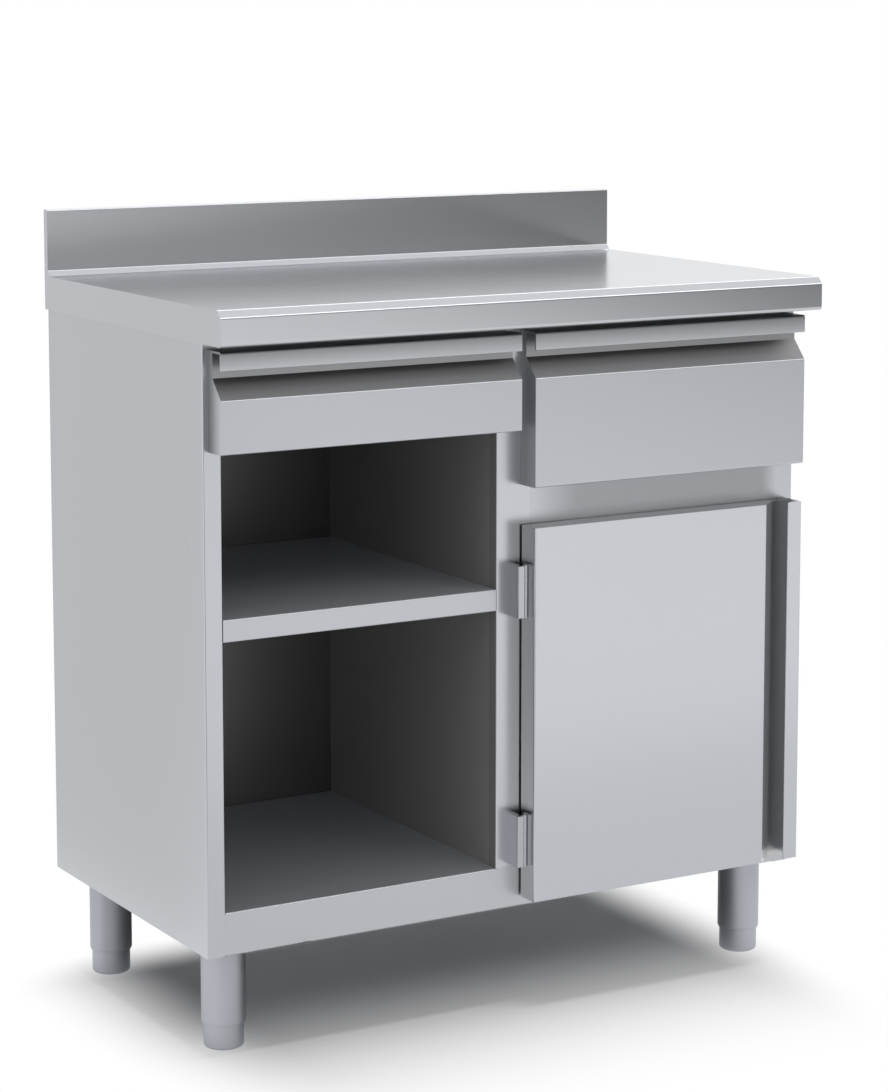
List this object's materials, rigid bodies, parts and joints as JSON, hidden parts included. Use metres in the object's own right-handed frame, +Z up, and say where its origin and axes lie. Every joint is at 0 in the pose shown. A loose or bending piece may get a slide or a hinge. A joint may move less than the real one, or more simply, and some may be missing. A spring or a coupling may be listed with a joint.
{
  "type": "coffee station cabinet",
  "caption": "Stainless steel coffee station cabinet with a splashback worktop, drawers with folded grips, an open bay with a shelf, a hinged door and adjustable feet.",
  "frame": {"origin": "on the floor, under the centre of the worktop's plan", "axes": "+Z up, +X to the viewer's right along the front, -Y out of the front"},
  "size_m": [1, 0.6, 1.16],
  "materials": {
    "satin_stainless": "satin brushed stainless sheet",
    "turned_stainless": "turned and brushed stainless tube and bar",
    "zinc_steel": "bright zinc plated steel",
    "black_rubber": "matt black rubber",
    "black_plastic": "matt moulded black plastic"
  },
  "bodies": {
    "carcass": {"worktop": "satin_stainless", "worktop_stiffener_front": "satin_stainless", "worktop_stiffener_rear": "satin_stainless", "left_side_panel": "satin_stainless", "right_side_panel": "satin_stainless", "left_liner": "satin_stainless", "right_liner": "satin_stainless", "partition_left_skin": "satin_stainless", "partition_right_skin": "satin_stainless", "mid_stile": "satin_stainless", "base_panel": "satin_stainless", "back_panel": "satin_stainless", "top_front_rail": "satin_stainless", "left_drawer_rail": "satin_stainless", "right_drawer_rail": "satin_stainless", "shelf": "satin_stainless", "shelf_bracket_left": "satin_stainless", "shelf_bracket_right": "satin_stainless", "front_leg_beam": "satin_stainless", "rear_leg_beam": "satin_stainless", "front_left_leg": "turned_stainless", "front_right_leg": "turned_stainless", "rear_left_leg": "turned_stainless", "rear_right_leg": "turned_stainless", "leg_inserts": "turned_stainless", "leg_bolts": "zinc_steel", "left_drawer_outer_rail_left": "zinc_steel", "left_drawer_outer_rail_right": "zinc_steel", "right_drawer_outer_rail_left": "zinc_steel", "right_drawer_outer_rail_right": "zinc_steel", "slide_screws": "zinc_steel", "upper_hinge_fixed_leaf": "turned_stainless", "upper_hinge_pin": "turned_stainless", "lower_hinge_fixed_leaf": "turned_stainless", "lower_hinge_pin": "turned_stainless", "door_magnet_catch": "black_plastic"},
    "left_drawer": {"left_drawer_front": "satin_stainless", "left_drawer_front_liner": "satin_stainless", "left_drawer_box": "satin_stainless", "left_drawer_inner_rail_left": "zinc_steel", "left_drawer_inner_rail_right": "zinc_steel"},
    "left_drawer_rails": {"left_drawer_middle_rails": "zinc_steel"},
    "right_drawer": {"right_drawer_front": "satin_stainless", "right_drawer_front_liner": "satin_stainless", "right_drawer_box": "satin_stainless", "right_drawer_inner_rail_left": "zinc_steel", "right_drawer_inner_rail_right": "zinc_steel", "knock_bar": "turned_stainless", "knock_bar_sleeve": "black_rubber"},
    "right_drawer_rails": {"right_drawer_middle_rails": "zinc_steel"},
    "door": {"door_skin": "satin_stainless", "door_liner": "satin_stainless", "upper_hinge_moving_leaf": "turned_stainless", "lower_hinge_moving_leaf": "turned_stainless", "door_strike_plate": "zinc_steel", "door_bumpers": "black_rubber"},
    "front_left_foot": {"front_left_foot": "turned_stainless"},
    "front_right_foot": {"front_right_foot": "turned_stainless"},
    "rear_left_foot": {"rear_left_foot": "turned_stainless"},
    "rear_right_foot": {"rear_right_foot": "turned_stainless"}
  },
  "joints": [
    {"name": "left_drawer_slide", "type": "slide", "parent": "carcass", "child": "left_drawer", "axis": [0, -1, 0], "range_m": [0, 0.4]},
    {"name": "left_rails_slide", "type": "slide", "parent": "carcass", "child": "left_drawer_rails", "axis": [0, -1, 0], "range_m": [0, 0.2]},
    {"name": "right_drawer_slide", "type": "slide", "parent": "carcass", "child": "right_drawer", "axis": [0, -1, 0], "range_m": [0, 0.4]},
    {"name": "right_rails_slide", "type": "slide", "parent": "carcass", "child": "right_drawer_rails", "axis": [0, -1, 0], "range_m": [0, 0.2]},
    {"name": "door_swing", "type": "hinge", "parent": "carcass", "child": "door", "pos_m": [0.0045, -0.2596, 0.44], "axis": [0, 0, -1], "range_deg": [0, 105]},
    {"name": "front_left_foot_adjust", "type": "slide", "parent": "carcass", "child": "front_left_foot", "axis": [0, 0, -1], "range_m": [0, 0.03]},
    {"name": "front_right_foot_adjust", "type": "slide", "parent": "carcass", "child": "front_right_foot", "axis": [0, 0, -1], "range_m": [0, 0.03]},
    {"name": "rear_left_foot_adjust", "type": "slide", "parent": "carcass", "child": "rear_left_foot", "axis": [0, 0, -1], "range_m": [0, 0.03]},
    {"name": "rear_right_foot_adjust", "type": "slide", "parent": "carcass", "child": "rear_right_foot", "axis": [0, 0, -1], "range_m": [0, 0.03]}
  ],
  "couplings": [
    {"joint": "left_rails_slide", "follows": "left_drawer_slide", "ratio": 0.5},
    {"joint": "right_rails_slide", "follows": "right_drawer_slide", "ratio": 0.5}
  ]
}
